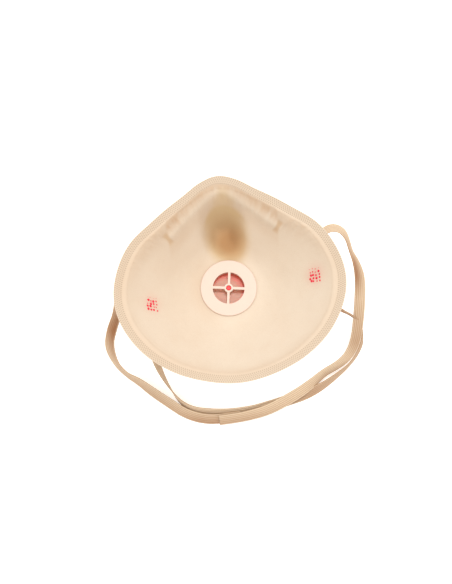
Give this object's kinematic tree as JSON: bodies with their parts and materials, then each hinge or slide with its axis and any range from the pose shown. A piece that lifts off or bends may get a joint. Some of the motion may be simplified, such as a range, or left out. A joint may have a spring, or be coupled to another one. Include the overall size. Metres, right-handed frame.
{
  "type": "dust mask",
  "caption": "Moulded cup dust mask with a welded rim, nose clip, round exhalation valve and one continuous elastic band through two anchors, lying cup-up on its valve.",
  "frame": {"origin": "under the middle of the cup, on the surface that the valve cover rests on; the valve is on the Z axis", "axes": "+X towards the right edge of the cup as seen from the face side, +Y towards the nose, +Z out of the open face side"},
  "size_m": [0.1718, 0.1543, 0.0569],
  "materials": {
    "face_felt": "soft warm cream needled felt",
    "filter_web": "white melt-blown web, sealed inside",
    "outer_felt": "stiff moulded cream felt",
    "clip_metal": "soft bare strip",
    "valve_plastic": "smooth cream moulded plastic",
    "cover_plastic": "smooth cream moulded plastic",
    "valve_silicone": "translucent red silicone",
    "anchor_plastic": "red moulded plastic",
    "elastic": "beige braided elastic with fine ribs along it"
  },
  "bodies": {
    "mask": {"face_lining": "face_felt", "filter_web": "filter_web", "outer_shell": "outer_felt", "nose_clip": "clip_metal", "valve_seat": "valve_plastic", "valve_ring": "valve_plastic", "valve_cover": "cover_plastic", "strap_anchor_left": "anchor_plastic", "strap_anchor_right": "anchor_plastic", "weld_spots_left": "anchor_plastic", "weld_spots_right": "anchor_plastic", "head_band_left": "elastic", "head_band_right": "elastic", "neck_band": "elastic"},
    "disc": {"valve_disc": "valve_silicone"}
  },
  "joints": [
    {"name": "disc_lift", "type": "slide", "parent": "mask", "child": "disc", "axis": [0, 0, -1], "range_m": [0, 0.001], "stiffness_N_per_m": 50, "springref_m": -0.0005}
  ]
}
